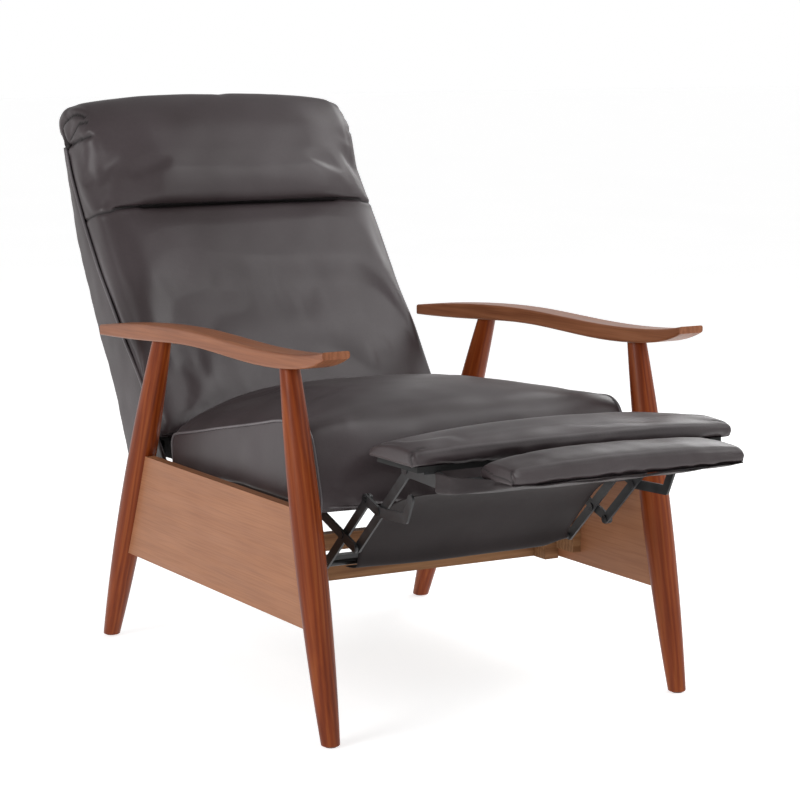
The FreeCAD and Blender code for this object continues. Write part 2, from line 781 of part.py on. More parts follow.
footrest_board("main_footrest_board", -604, -482, 454, "Dims.main_pad_half_width - 14")
footrest_board("flipper_board", -752, -672, 447, "Dims.flipper_pad_half_width - 8")
MAIN_PAD = (
    (-472, 463.4), (-616, 463.4), (-616, 484), (-575, 500), (-530, 507), (-490, 500), (-471, 482),
)
FLIPPER_PAD = ((-664, 456.4), (-758, 456.4), (-761, 462), (-759, 471), (-720, 481), (-666, 477))
keep(across("main_footrest_pad", MAIN_PAD, "Dims.main_pad_half_width"), "main_footrest_pad")
keep(across("flipper_pad", FLIPPER_PAD, "Dims.flipper_pad_half_width"), "flipper_pad")

# Leather apron, hemmed round the bar and hung to the footrest, and its band under the flipper.
APRON_OUTER = ((-229, 236.5), (-272, 243), (-283, 277), (-326, 314), (-372, 352), (-430, 380),
               (-486, 396), (-560, 411))
APRON_THICKNESS = 3
apron_inner = tuple((y, z + APRON_THICKNESS) for y, z in reversed(APRON_OUTER))
keep(across("apron", APRON_OUTER + apron_inner, "Dims.apron_half_width"), "apron")
BAND_OUTER = ((-640, 421), (-700, 432), (-753, 443.4))
band_inner = tuple((y, z + APRON_THICKNESS) for y, z in reversed(BAND_OUTER))
keep(across("flipper_band", BAND_OUTER + band_inner, "Dims.flipper_pad_half_width - 20"),
     "flipper_band")

# ---------------------------------------------------------------- checks and export

doc.recompute()
for thing in doc.Objects:
    if "Invalid" in thing.State or "Error" in thing.State:
        raise RuntimeError("%s failed: %s" % (thing.Label, thing.State))
for thing in nodes:
    if thing.Shape.isNull() or not thing.Shape.isValid() or thing.Shape.Volume <= 0:
        raise RuntimeError("bad shape: " + thing.Label)

os.makedirs("parts", exist_ok=True)
for thing in nodes:
    thing.Shape.exportStep(os.path.join("parts", thing.Label + ".step"))

box = FreeCAD.BoundBox()
for thing in nodes:
    box.add(thing.Shape.BoundBox)
print(len(nodes), "nodes; X %.1f to %.1f, Y %.1f to %.1f, Z %.1f to %.1f" % (
    box.XMin, box.XMax, box.YMin, box.YMax, box.ZMin, box.ZMax))
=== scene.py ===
"""Looks of the reclining armchair: leather covers, piping, apron, wood, steel, studio and camera.

Lengths in the tables of points are millimetres, as (y, z) in the side view; -Y is the front.
"""
import json
import math

import bmesh
import bpy
import numpy as np
from mathutils import Matrix, Vector, kdtree


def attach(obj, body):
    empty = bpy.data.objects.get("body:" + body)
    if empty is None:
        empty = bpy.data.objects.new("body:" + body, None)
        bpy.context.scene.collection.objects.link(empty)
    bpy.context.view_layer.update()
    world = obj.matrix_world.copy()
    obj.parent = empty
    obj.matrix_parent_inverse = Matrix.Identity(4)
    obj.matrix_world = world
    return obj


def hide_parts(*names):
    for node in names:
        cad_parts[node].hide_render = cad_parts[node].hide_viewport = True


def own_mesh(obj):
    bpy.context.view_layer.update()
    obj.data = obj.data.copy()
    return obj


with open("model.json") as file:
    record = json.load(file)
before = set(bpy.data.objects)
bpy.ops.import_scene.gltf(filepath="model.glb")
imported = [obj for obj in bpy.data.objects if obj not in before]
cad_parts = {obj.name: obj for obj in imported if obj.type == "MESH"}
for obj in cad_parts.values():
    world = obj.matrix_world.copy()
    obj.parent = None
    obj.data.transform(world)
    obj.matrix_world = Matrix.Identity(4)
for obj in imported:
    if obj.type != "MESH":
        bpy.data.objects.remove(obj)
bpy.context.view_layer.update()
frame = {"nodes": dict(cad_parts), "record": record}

MM = 0.001
scene = bpy.context.scene

# ---------------------------------------------------------------- camera

CAMERA_PLACE = (-2.10731, -3.78267, 1.09337)
CAMERA_AZIMUTH = math.radians(-29.528)
CAMERA_ELEVATION = math.radians(8.2167)
CAMERA_ROLL = math.radians(-0.186)
CAMERA_LENS = 113.29

camera = bpy.data.objects.new("camera", bpy.data.cameras.new("camera"))
scene.collection.objects.link(camera)
camera.data.lens = CAMERA_LENS
camera.data.sensor_width = 36
camera.data.clip_end = 60
back = Vector((
    math.sin(CAMERA_AZIMUTH) * math.cos(CAMERA_ELEVATION),
    -math.cos(CAMERA_AZIMUTH) * math.cos(CAMERA_ELEVATION),
    math.sin(CAMERA_ELEVATION),
))
level_right = (-back).cross(Vector((0, 0, 1))).normalized()
level_up = level_right.cross(-back)
right = level_right * math.cos(CAMERA_ROLL) + level_up * math.sin(CAMERA_ROLL)
up = level_up * math.cos(CAMERA_ROLL) - level_right * math.sin(CAMERA_ROLL)
camera.matrix_world = Matrix.Translation(CAMERA_PLACE) @ Matrix((right, up, back)).transposed().to_4x4()
scene.camera = camera
scene.view_settings.view_transform = "Standard"

# ---------------------------------------------------------------- studio

# height of a direction above the horizon, and the sky's brightness there
SKY_STOPS = ((0.0, 1.0), (0.16, 1.0), (0.36, 0.40), (1.0, 0.30))


def light_sky():
    """White round the horizon and dimmer overhead, as a studio's walls and ceiling are."""
    world = bpy.data.worlds.new("studio")
    scene.world = world
    world.use_nodes = True
    tree = world.node_tree
    ways = tree.nodes.new("ShaderNodeTexCoord").outputs["Generated"]
    parts = tree.nodes.new("ShaderNodeSeparateXYZ")
    ramp = tree.nodes.new("ShaderNodeValToRGB")
    tree.links.new(ways, parts.inputs[0])
    tree.links.new(parts.outputs["Z"], ramp.inputs["Fac"])
    elements = ramp.color_ramp.elements
    while len(elements) < len(SKY_STOPS):
        elements.new(0.5)
    for element, (height, shade) in zip(elements, SKY_STOPS):
        element.position = height
        element.color = (shade, shade, shade, 1)
    tree.links.new(ramp.outputs["Color"], tree.nodes["Background"].inputs["Color"])


def soft_light(name, place, target, size, power):
    """A white rectangular lamp, in metres and watts, turned towards its target."""
    data = bpy.data.lights.new(name, "AREA")
    data.shape = "RECTANGLE"
    data.size, data.size_y = size
    data.energy = power
    light = bpy.data.objects.new(name, data)
    light.location = place
    light.rotation_mode = "QUATERNION"
    light.rotation_quaternion = (Vector(target) - Vector(place)).to_track_quat("-Z", "Y")
    scene.collection.objects.link(light)


light_sky()
soft_light("key", (-3.6, -1.0, 2.1), (0, 0, 0.5), (1.4, 2.0), 62)
soft_light("fill", (1.8, -3.6, 1.5), (0, 0, 0.5), (1.0, 1.6), 8)
soft_light("sheen", (2.2, -1.3, 3.1), (0, 0.2, 0.65), (2.4, 2.4), 62)
soft_light("rim", (2.8, 1.6, 2.4), (0, 0.2, 0.6), (1.2, 1.6), 34)

# ---------------------------------------------------------------- materials


class Surface:
    """A Principled material and short calls to build its nodes."""

    def __init__(self, name, roughness=0.5, **sockets):
        self.material = bpy.data.materials.new(name)
        self.material.use_nodes = True
        self.tree = self.material.node_tree
        self.shader = self.tree.nodes["Principled BSDF"]
        self.shader.inputs["Roughness"].default_value = roughness
        for socket, value in sockets.items():
            self.shader.inputs[socket.replace("_", " ")].default_value = value
        self.place = self.tree.nodes.new("ShaderNodeTexCoord").outputs["Object"]

    def node(self, kind, inputs=None, **settings):
        made = self.tree.nodes.new("ShaderNode" + kind)
        for key, value in settings.items():
            setattr(made, key, value)
        for key, value in (inputs or {}).items():
            if isinstance(value, bpy.types.NodeSocket):
                self.tree.links.new(value, made.inputs[key])
            else:
                made.inputs[key].default_value = value
        return made

    def noise(self, scale, detail=3, place=None, roughness=0.5, distortion=0.0):
        made = self.node("TexNoise", {
            "Vector": place or self.place, "Scale": scale, "Detail": detail,
            "Roughness": roughness, "Distortion": distortion,
        })
        return made.outputs["Fac"]

    def ramp(self, value, stops):
        made = self.node("ValToRGB", {"Fac": value})
        elements = made.color_ramp.elements
        while len(elements) < len(stops):
            elements.new(0.5)
        for element, (position, colour) in zip(elements, stops):
            element.position = position
            element.color = colour if len(colour) == 4 else (*colour, 1)
        return made.outputs["Color"]

    def grey(self, value, low, high, start=0.0, end=1.0):
        return self.node("MapRange", {
            "Value": value, "From Min": start, "From Max": end, "To Min": low, "To Max": high,
        }).outputs["Result"]

    def mix(self, share, a, b, blend="MIX"):
        made = self.node("Mix", data_type="RGBA", blend_type=blend)
        for socket, value in ((made.inputs[0], share), (made.inputs[6], a), (made.inputs[7], b)):
            if isinstance(value, bpy.types.NodeSocket):
                self.tree.links.new(value, socket)
            else:
                socket.default_value = value
        return made.outputs[2]

    def maths(self, operation, a, b):
        made = self.node("Math", operation=operation)
        for socket, value in zip(made.inputs, (a, b)):
            if isinstance(value, bpy.types.NodeSocket):
                self.tree.links.new(value, socket)
            else:
                socket.default_value = value
        return made.outputs[0]

    def bump(self, height, distance, strength=1.0, under=None):
        inputs = {"Height": height, "Distance": distance, "Strength": strength}
        if under is not None:
            inputs["Normal"] = under
        return self.node("Bump", inputs).outputs["Normal"]

    def finish(self, colour=None, roughness=None, normal=None):
        for socket, value in (("Base Color", colour), ("Roughness", roughness), ("Normal", normal)):
            if value is not None:
                self.tree.links.new(value, self.shader.inputs[socket])
        return self.material


# the leather paints shade into its colour, and dulls it, where this attribute is high
SEAM_SHADE = "crease"     # vertex attribute: 1 in a seam or fold, 0 on open leather


def leather(name, dark, light, roughness=0.42, shine=0.42):
    """Smooth dark leather: soft cloudy colour, fine pebble grain, duller in its seams, with painted shade in
    them.
    """
    s = Surface(name, roughness, Specular_IOR_Level=shine)
    cloud = s.noise(5.5, 4)
    colour = s.ramp(cloud, [(0.32, dark), (0.68, light)])
    fine = s.noise(160, 3)
    colour = s.mix(0.18, colour, s.ramp(fine, [(0.3, (0.6, 0.6, 0.6)), (0.7, (1, 1, 1))]), "MULTIPLY")
    crease = s.node("Attribute", attribute_name=SEAM_SHADE).outputs["Fac"]
    # painted shade: the colour goes near black in seams and folds, as if shadowed there
    colour = s.mix(s.grey(crease, 0.0, 0.85), colour, (0.006, 0.005, 0.005, 1))
    pebble = s.node("TexVoronoi", {"Vector": s.place, "Scale": 620.0}, feature="F1").outputs["Distance"]
    creases = s.noise(46, 5, roughness=0.62, distortion=0.6)
    normal = s.bump(pebble, 0.00025, 0.35)
    normal = s.bump(creases, 0.0010, 0.10, normal)
    rough = s.grey(s.noise(14, 4), roughness - 0.03, roughness + 0.04, 0.3, 0.7)
    rough = s.maths("ADD", rough, s.maths("MULTIPLY", crease, 0.3))
    return s.finish(colour, rough, normal)


def wood(name, dark, mid, light, axis, gloss=0.36, coat=0.05, streak=1.0):
    """Stained wood with its grain along an axis, under satin lacquer; a low streak calms the grain."""
    s = Surface(name, gloss, Coat_Weight=coat, Coat_Roughness=0.18, Specular_IOR_Level=0.16)
    turn = Vector((0, 1, 0)).rotation_difference(Vector(axis).normalized()).inverted().to_euler()
    straight = s.node("Mapping", {"Vector": s.place, "Rotation": turn}).outputs["Vector"]
    long_grain = s.node("Mapping", {"Vector": straight, "Scale": (26, 1.3, 26)}).outputs["Vector"]
    pores = s.node("Mapping", {"Vector": straight, "Scale": (420, 9, 420)}).outputs["Vector"]
    figure = s.noise(1.6, 5, long_grain, 0.6, 1.2)
    rings = s.node("TexWave", {
        "Vector": long_grain, "Scale": 1.3, "Distortion": 7.0, "Detail": 3.0, "Detail Scale": 1.6,
    }, wave_type="BANDS", bands_direction="X").outputs["Fac"]
    grain = s.grey(s.mix(0.25, figure, rings), 0.5 - 0.5 * streak, 0.5 + 0.5 * streak)
    colour = s.ramp(grain, [(0.2, dark), (0.52, mid), (0.86, light)])
    fleck = s.noise(1.0, 2, pores)
    colour = s.mix(0.30, colour, s.ramp(fleck, [(0.36, (0.55, 0.5, 0.45)), (0.56, (1, 1, 1))]), "MULTIPLY")
    patches = s.noise(7, 2)
    colour = s.mix(0.35, colour, s.ramp(patches, [(0.3, (0.8, 0.74, 0.7)), (0.7, (1, 1, 1))]), "MULTIPLY")
    normal = s.bump(fleck, 0.0002, 0.25)
    rough = s.grey(figure, gloss - 0.05, gloss + 0.08, 0.3, 0.7)
    return s.finish(colour, rough, normal)


def steel(name, colour, roughness, metallic=0.0):
    """Powder coat or blackened steel, with a fine orange-peel and a mottled tone."""
    s = Surface(name, roughness, Metallic=metallic)
    dust = s.noise(55, 5)
    shade = s.ramp(dust, [(0.35, tuple(0.75 * c for c in colour)), (0.72, tuple(1.5 * c for c in colour))])
    normal = s.bump(s.noise(900, 2), 0.0001, 0.3)
    return s.finish(shade, s.grey(dust, roughness - 0.07, roughness + 0.12, 0.3, 0.7), normal)


def woven(name, dark, light, threads, roughness=0.85):
    """Plain woven or felted cloth with crossing threads."""
    s = Surface(name, roughness)
    across = s.node("TexWave", {"Vector": s.place, "Scale": threads}, bands_direction="X").outputs["Fac"]
    slanting = s.node("TexWave", {"Vector": s.place, "Scale": threads}, bands_direction="DIAGONAL")
    weave = s.maths("MULTIPLY", across, slanting.outputs["Fac"])
    colour = s.ramp(s.mix(0.5, weave, s.noise(30, 4)), [(0.2, dark), (0.8, light)])
    return s.finish(colour, None, s.bump(weave, 0.0003, 0.4))


# how the legs lean: from the foot up to the armrest
LEG_AXES = {"front_leg": (0, 128, 577), "rear_leg": (0, -250, 572)}
LEATHER = leather("leather", (0.036, 0.0262, 0.0275), (0.052, 0.0395, 0.0425), 0.42)
# the apron is the same leather, painted darker for the shade it hangs in under the seat
APRON_LEATHER_PAINTED_SHADE = leather("apron_leather_painted_shade", (0.014, 0.0102, 0.0104), (0.020, 0.015, 0.0155), 0.62, 0.16)
BAND_LEATHER = leather("band_leather", (0.018, 0.0132, 0.0138), (0.030, 0.0225, 0.024), 0.55, 0.25)
# the piping is the same leather, painted lighter as a highlight along the cords
PIPING_LEATHER_PAINTED_HIGHLIGHT = leather("piping_leather_painted_highlight", (0.085, 0.074, 0.078), (0.13, 0.116, 0.122), 0.36)
WELT_LEATHER = leather("welt_leather", (0.012, 0.010, 0.010), (0.020, 0.017, 0.018), 0.55)
LEG_WOOD = {
    name: wood(name + "_wood", (0.11, 0.016, 0.003), (0.195, 0.036, 0.006), (0.28, 0.072, 0.015), axis)
    for name, axis in LEG_AXES.items()
}
ARM_WOOD = wood(
    "armrest_wood", (0.19, 0.062, 0.026), (0.28, 0.105, 0.048), (0.36, 0.15, 0.075), axis=(0, 1, -0.02))
PANEL_WOOD = wood(
    "panel_wood", (0.26, 0.105, 0.048), (0.34, 0.148, 0.072), (0.40, 0.185, 0.095), axis=(0, 1, 0),
    gloss=0.4, coat=0.05, streak=0.45)
RAIL_WOOD = wood(
    "rail_wood", (0.16, 0.07, 0.03), (0.26, 0.13, 0.06), (0.36, 0.20, 0.10), axis=(1, 0, 0),
    gloss=0.6, coat=0.0)
BOARD_WOOD = wood(
    "board_wood", (0.36, 0.24, 0.13), (0.52, 0.37, 0.22), (0.62, 0.47, 0.30), axis=(1, 0, 0),
    gloss=0.7, coat=0.0)
BLACK_STEEL = steel("black_steel", (0.018, 0.018, 0.019), 0.42)
PIN_STEEL = steel("pin_steel", (0.05, 0.05, 0.052), 0.3, 0.8)
DUST_CLOTH = woven("dust_cloth", (0.006, 0.006, 0.006), (0.022, 0.022, 0.022), 420)
WEBBING = woven("webbing", (0.10, 0.085, 0.065), (0.26, 0.23, 0.18), 260)
GLIDE = steel("glide_plastic", (0.05, 0.045, 0.04), 0.5)

SLOT_MATERIALS = {
    "rail_wood": RAIL_WOOD, "frame_wood": BOARD_WOOD, "leather": LEATHER, "black_steel": BLACK_STEEL,
    "pin_steel": PIN_STEEL, "dust_cloth": DUST_CLOTH, "webbing": WEBBING, "glide_plastic": GLIDE,
    "walnut_wood": PANEL_WOOD,
}
# boards whose edges can be glimpsed: covered in black cloth
WRAPPED_BOARDS = ("main_footrest_board", "flipper_board", "back_side_board_left", "back_side_board_right")
slots = {part["node"]: part["material_slot"] for part in frame["record"]["subparts"]}
for node, obj in frame["nodes"].items():
    material = SLOT_MATERIALS[slots[node]]
    if node.startswith("armrest"):
        material = ARM_WOOD
    if node in WRAPPED_BOARDS:
        material = DUST_CLOTH
    for name in LEG_WOOD:
        if node.startswith(name):
            material = LEG_WOOD[name]
    obj.data.materials.clear()
    obj.data.materials.append(material)

# ---------------------------------------------------------------- mesh helpers


def through(points, counts):
    """Points on a smooth curve through the given ones, with that many steps in each gap."""
    p = np.array(points, float)
    q = np.vstack([2 * p[0] - p[1], p, 2 * p[-1] - p[-2]])
    out = []
    for k, n in enumerate(counts):
        a, b, c, d = q[k:k + 4]
        t = (np.arange(n) / n)[:, None]
        out.append(0.5 * (2 * b + (c - a) * t + (2 * a - 5 * b + 4 * c - d) * t ** 2
                          + (3 * b - a - 3 * c + d) * t ** 3))
    out.append(p[-1:])
    return np.vstack(out)


def steps(points, step):
    gaps = np.linalg.norm(np.diff(np.array(points, float), axis=0), axis=1)
    return [max(1, int(round(g / step))) for g in gaps]


def along(points, shares):
    """Points at shares of the length of a polyline."""
    p = np.array(points, float)
    reach = np.concatenate([[0], np.cumsum(np.linalg.norm(np.diff(p, axis=0), axis=1))])
    return np.stack([np.interp(np.array(shares) * reach[-1], reach, p[:, k]) for k in range(p.shape[1])], 1)


def smoothstep(x, start, end):
    t = np.clip((x - start) / (end - start), 0, 1)
    return t * t * (3 - 2 * t)


def new_mesh(name, verts, faces, material, body=None):
    mesh = bpy.data.meshes.new(name)
    mesh.from_pydata([tuple(v) for v in np.asarray(verts, float) * MM], [], faces)
    mesh.update()
    obj = bpy.data.objects.new(name, mesh)
    scene.collection.objects.link(obj)
    mesh.materials.append(material)
    mesh.shade_smooth()
    if body:
        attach(obj, body)
    return obj


def clean(obj, gap=0.05):
    """Merges points that meet, closes small holes and turns the faces outwards."""
    b = bmesh.new()
    b.from_mesh(obj.data)
    bmesh.ops.remove_doubles(b, verts=b.verts, dist=gap * MM)
    bmesh.ops.dissolve_degenerate(b, edges=b.edges, dist=gap * MM)
    bmesh.ops.holes_fill(b, edges=[e for e in b.edges if e.is_boundary])
    bmesh.ops.recalc_face_normals(b, faces=b.faces)
    for face in b.faces:
        face.smooth = True
    b.to_mesh(obj.data)
    b.free()
    obj.data.update()


def points_of(obj):
    co = np.empty(len(obj.data.vertices) * 3)
    obj.data.vertices.foreach_get("co", co)
    return co.reshape(-1, 3) / MM


def move_points(obj, points):
    obj.data.vertices.foreach_set("co", (points * MM).astype(np.float32).ravel())
    obj.data.update()


def normals_of(obj):
    normal = np.empty(len(obj.data.vertices) * 3)
    obj.data.vertex_normals.foreach_get("vector", normal)
    return normal.reshape(-1, 3)


def applied(obj):
    """Replaces an object's mesh by what its modifiers make of it."""
    graph = bpy.context.evaluated_depsgraph_get()
    mesh = bpy.data.meshes.new_from_object(obj.evaluated_get(graph))
    obj.modifiers.clear()
    old = obj.data
    obj.data = mesh
    bpy.data.meshes.remove(old)
    mesh.shade_smooth()


def subdivide(obj, levels=1):
    modifier = obj.modifiers.new("smooth", "SUBSURF")
    modifier.levels = levels
    applied(obj)


def inflate(obj, held, pressure, cap, frames=20):
    """Blows the cover up against its seams as cloth, moving no point further than the cap."""
    start = points_of(obj)
    group = obj.vertex_groups.new(name="held")
    for index, share in enumerate(held):
        if share > 0:
            group.add([index], float(share), "REPLACE")
    modifier = obj.modifiers.new("cloth", "CLOTH")
    cloth = modifier.settings
    cloth.quality = 6
    cloth.mass = 0.3
    cloth.tension_stiffness = cloth.compression_stiffness = 25
    cloth.shear_stiffness = 12
    cloth.bending_stiffness = 2.5
    cloth.vertex_group_mass = "held"
    cloth.use_pressure = True
    cloth.uniform_pressure_force = pressure
    cloth.effector_weights.gravity = 0
    modifier.collision_settings.use_collision = False
    modifier.point_cache.frame_start, modifier.point_cache.frame_end = 1, frames
    for number in range(1, frames + 1):
        scene.frame_set(number)
    graph = bpy.context.evaluated_depsgraph_get()
    puffed = obj.evaluated_get(graph).data
    co = np.empty(len(puffed.vertices) * 3)
    puffed.vertices.foreach_get("co", co)
    shift = co.reshape(-1, 3) / MM - start
    length = np.linalg.norm(shift, axis=1, keepdims=True)
    shift *= np.minimum(1, cap / np.maximum(length, 1e-6))
    obj.modifiers.clear()
    obj.vertex_groups.clear()
    scene.frame_set(1)
    move_points(obj, start + shift)


def tree_of(points):
    """A search tree for the nearest of some points."""
    tree = kdtree.KDTree(len(points))
    for index, point in enumerate(points):
        tree.insert(point, index)
    tree.balance()
    return tree


PRESS_POINTS = 240


def seam_shade_values(obj):
    attribute = obj.data.attributes.get(SEAM_SHADE) or obj.data.attributes.new(SEAM_SHADE, "FLOAT", "POINT")
    values = np.zeros(len(obj.data.vertices), np.float32)
    attribute.data.foreach_get("value", values)
    return attribute, values


def press(obj, line, depth, width, shade=1.0, puff=0.25):
    """Draws the leather in along a seam or fold, lifts it beside that and paints shade into its colour
    there.
    """
    points = points_of(obj)
    normals = normals_of(obj)
    tree = tree_of(points)
    line = np.array([tree.find(p)[0] for p in along(line, np.linspace(0, 1, PRESS_POINTS))])
    for _ in range(3):
        line[1:-1] = (line[:-2] + 2 * line[1:-1] + line[2:]) / 4
    seam = tree_of(line)
    near = np.array([seam.find(p)[2] for p in points])
    dip = np.exp(-(near / width) ** 2)
    ridge = np.exp(-((near - 2.6 * width) / (1.6 * width)) ** 2)
    move_points(obj, points - normals * (depth * (dip - puff * ridge))[:, None])
    # painted shade along the line, as much as shade asks for
    attribute, values = seam_shade_values(obj)
    values = np.maximum(values, (shade * np.exp(-(near / (0.7 * width)) ** 2)).astype(np.float32))
    attribute.data.foreach_set("value", values)


def ripple(obj, amount, seed, scale=0.011):
    """A slow unevenness, as padding has under leather."""
    points, normals = points_of(obj), normals_of(obj)
    rng = np.random.default_rng(seed)
    height = np.zeros(len(points))
    for _ in range(14):
        wave = rng.normal(size=3) * scale * rng.uniform(0.4, 1.5)
        height += np.sin(points @ wave * 2 * math.pi + rng.uniform(0, 6.28)) / 14 ** 0.5
    move_points(obj, points + normals * (amount * height)[:, None])


def tube(name, line, radius, material, body, sides=10, step=6.0):
    """A round cord of leather along a line, closed at its ends."""
    count = max(3, int(round(np.linalg.norm(np.diff(line, axis=0), axis=1).sum() / step)))
    path = along(line, np.linspace(0, 1, count + 1))
    for _ in range(2):
        path[1:-1] = (path[:-2] + 2 * path[1:-1] + path[2:]) / 4
    ahead = np.gradient(path, axis=0)
    ahead /= np.linalg.norm(ahead, axis=1, keepdims=True)
    first = np.tile(np.array([1.0, 0.02, 0.03]), (len(path), 1))
    first -= ahead * (first * ahead).sum(1, keepdims=True)
    first /= np.linalg.norm(first, axis=1, keepdims=True)
    second = np.cross(ahead, first)
    angles = np.arange(sides) * 2 * math.pi / sides
    rings = (path[:, None, :]
             + radius * (np.cos(angles)[None, :, None] * first[:, None, :]
                         + np.sin(angles)[None, :, None] * second[:, None, :]))
    faces = [
        (i * sides + j, i * sides + (j + 1) % sides, (i + 1) * sides + (j + 1) % sides, (i + 1) * sides + j)
        for i in range(count) for j in range(sides)
    ]
    faces.append(tuple(range(sides))[::-1])
    faces.append(tuple(count * sides + j for j in range(sides)))
    obj = new_mesh(name, rings.reshape(-1, 3), faces, material, body)
    clean(obj, 0.001)
    return obj


def sheet_mesh(name, columns, material, thickness, offset=0):
    """A sheet through columns of points, with some thickness."""
    grid = np.stack(columns, 1)
    n, m, _ = grid.shape
    faces = [(i * m + j, i * m + j + 1, (i + 1) * m + j + 1, (i + 1) * m + j)
             for i in range(n - 1) for j in range(m - 1)]
    obj = new_mesh(name, grid.reshape(-1, 3), faces, material)
    shell = obj.modifiers.new("thickness", "SOLIDIFY")
    shell.thickness = thickness * MM
    shell.offset = offset
    applied(obj)
    return obj


def across_at(x, profile):
    """A side-view profile placed at a distance from the chair's middle."""
    return np.column_stack([np.full(len(profile), x), profile])


class Cover:
    """A cushion cover lofted across the chair from three side-view lines.

    middle is the profile down the chair's centre line, side the profile where the cover turns to its
    side, and spine the line that the sides run to.  Each is a list of rows that match one to one.
    crown says how far the face has swollen from side to middle, and under closes the cover behind.
    """

    EDGE_SHARE = 0.45     # a rounded edge takes up less than this share of the side

    def __init__(self, middle, side, spine, half, edge, step, crown, under, side_bulge=0.0, side_steps=8):
        counts = steps(middle, step)
        starts = np.concatenate([[0], np.cumsum(counts)])
        self.row_at = lambda row: int(starts[row])
        m, s, t = (through(line, counts) for line in (middle, side, spine))
        rows = np.interp(np.arange(len(m)), starts, np.arange(len(middle)))
        inset = np.linalg.norm(t - s, axis=1)
        inward = (t - s) / np.maximum(inset, 1e-6)[:, None]
        columns = []
        kinds = []

        def add(x, points, kind):
            columns.append(across_at(x, points))
            kinds.append(kind)

        front = s + inward * np.minimum(edge, self.EDGE_SHARE * inset)[:, None]
        turn = [(half + side_bulge * math.sin(math.pi * f), t + (front - t) * f, "side")
                for f in np.linspace(0, 1, side_steps + 1)]
        turn[0] = (half, t, "spine")
        arc = 5 if edge > 4 else 2
        for k in range(arc - 1, -1, -1):
            angle = math.pi / 2 * k / arc
            depth = np.minimum(edge * (1 - math.cos(angle)), self.EDGE_SHARE * inset)
            turn.append((half - edge + edge * math.sin(angle), s + inward * depth[:, None], "edge"))
        for x, points, kind in turn:
            add(-x, points, kind)
        flat_half = half - edge
        inner = np.linspace(-flat_half, flat_half, int(round(2 * flat_half / step)) + 1)[1:-1]
        for x in inner:
            share = np.array([crown(abs(x) / half, row) for row in rows])
            add(x, s + (m - s) * share[:, None], "face")
        for x, points, kind in reversed(turn):
            add(x, points, kind)
        for x, points in under(half, t, rows):
            add(x, points, "under")
        self.grid = np.stack(columns, 1)
        self.kinds = kinds

    def build(self, name):
        n, m, _ = self.grid.shape
        faces = [
            (i * m + j, i * m + (j + 1) % m, (i + 1) * m + (j + 1) % m, (i + 1) * m + j)
            for i in range(n - 1) for j in range(m)
        ]
        self.obj = new_mesh(name, self.grid.reshape(-1, 3), faces, LEATHER)
        clean(self.obj)
        return self.obj

    def row_line(self, row, low=-1e9, high=1e9):
        """The line across the cover at a row, from one side to the other."""
        line = self.grid[self.row_at(row)]
        keep = [j for j, k in enumerate(self.kinds) if k != "under"]
        return np.array([line[j] for j in keep if low <= line[j][0] <= high])

    def edge_line(self):
        """The line along the cover where its rounded edge meets its side, on the +X side."""
        return self.grid[:, max(j for j, k in enumerate(self.kinds) if k == "edge")]

    def held(self, lines, reach=4.0):
        """1 for the points that lie on a seam, underneath or on the spine."""
        points = points_of(self.obj)
        still = [self.grid[:, j] for j, k in enumerate(self.kinds) if k in ("under", "spine")]
        tree = tree_of(np.vstack(still + lines))
        return np.array([1.0 if tree.find(p)[2] < reach else 0.0 for p in points])


SIDES = ((-1, "right"), (1, "left"))


def mirrored(line, sign=-1):
    """A line for the -X side, or as it stands for the +X side."""
    return np.asarray(line) * np.array([sign, 1, 1])


# ---------------------------------------------------------------- back: padded front and rolled head

PIPING_PATH = (
    (297, 385), (301, 384), (368, 481), (437, 544), (467, 576), (552, 665), (602, 727), (620, 751),
)
PIPING_HEAD = ((620, 751), (647, 790), (683, 845), (701, 886))
BACK_HALF = 291
SEAM_ROW, FOLD_ROW = 11, 17
BACK_MIDDLE = (
    (297, 385), (279, 392), (277, 408), (288, 428), (306, 455), (345, 513), (393, 583), (441, 648),
    (489, 708), (524, 752), (546, 778), (559, 785), (537, 787), (529, 801), (541, 836), (559, 863),
    (580, 893), (612, 934), (652, 966), (694, 983), (728, 981), (750, 965), (760, 940), (757, 912),
    (733, 889), (702, 884),
)
BACK_SIDE = (
    (297, 385), (281, 392), (279, 408), (290, 428), (308, 452), (348, 510), (397, 578), (446, 641),
    (495, 703), (529, 745), (546, 765), (552, 773), (559, 784), (569, 800), (583, 825), (595, 848),
    (608, 880), (627, 916), (650, 939), (685, 961), (727, 962), (750, 956), (765, 940), (763, 917),
    (742, 904), (702, 885),
)


BACK_FRONTWARD = (-0.775, 0.632)     # straight out of the back's face
BACK_HOLLOW = 9


def back_spine():
    """The piping's line, which the padding's sides run to, and the point under the roll."""
    side = np.array(BACK_SIDE, float)
    reach = np.concatenate([[0], np.cumsum(np.linalg.norm(np.diff(side, axis=0), axis=1))])
    low = along(PIPING_PATH, reach[:SEAM_ROW + 1] / reach[SEAM_ROW])
    upper = (reach[SEAM_ROW + 1:FOLD_ROW + 1] - reach[SEAM_ROW]) / (reach[FOLD_ROW] - reach[SEAM_ROW])
    high = along(PIPING_HEAD, upper)
    roll = np.tile(np.array(PIPING_HEAD[-1], float), (len(side) - FOLD_ROW - 1, 1))
    return np.vstack([low, high, roll])


def back_crown(s, row):
    """How far a point across the back has swollen from the side profile to the middle one."""
    panel = 1 - s ** 2.6
    head = 1 - smoothstep(s, 0.55, 0.97)
    crease = 1 - s ** 4
    roll = 1 - s ** 2.2
    if row <= SEAM_ROW - 1.5:
        return panel
    if row <= SEAM_ROW:
        share = (row - SEAM_ROW + 1.5) / 1.5
        return panel * (1 - share) + crease * share
    if row <= SEAM_ROW + 2:
        share = (row - SEAM_ROW) / 2
        return crease * (1 - share) + head * share
    share = smoothstep(row, SEAM_ROW + 4, FOLD_ROW + 2)
    return head * (1 - share) + roll * share


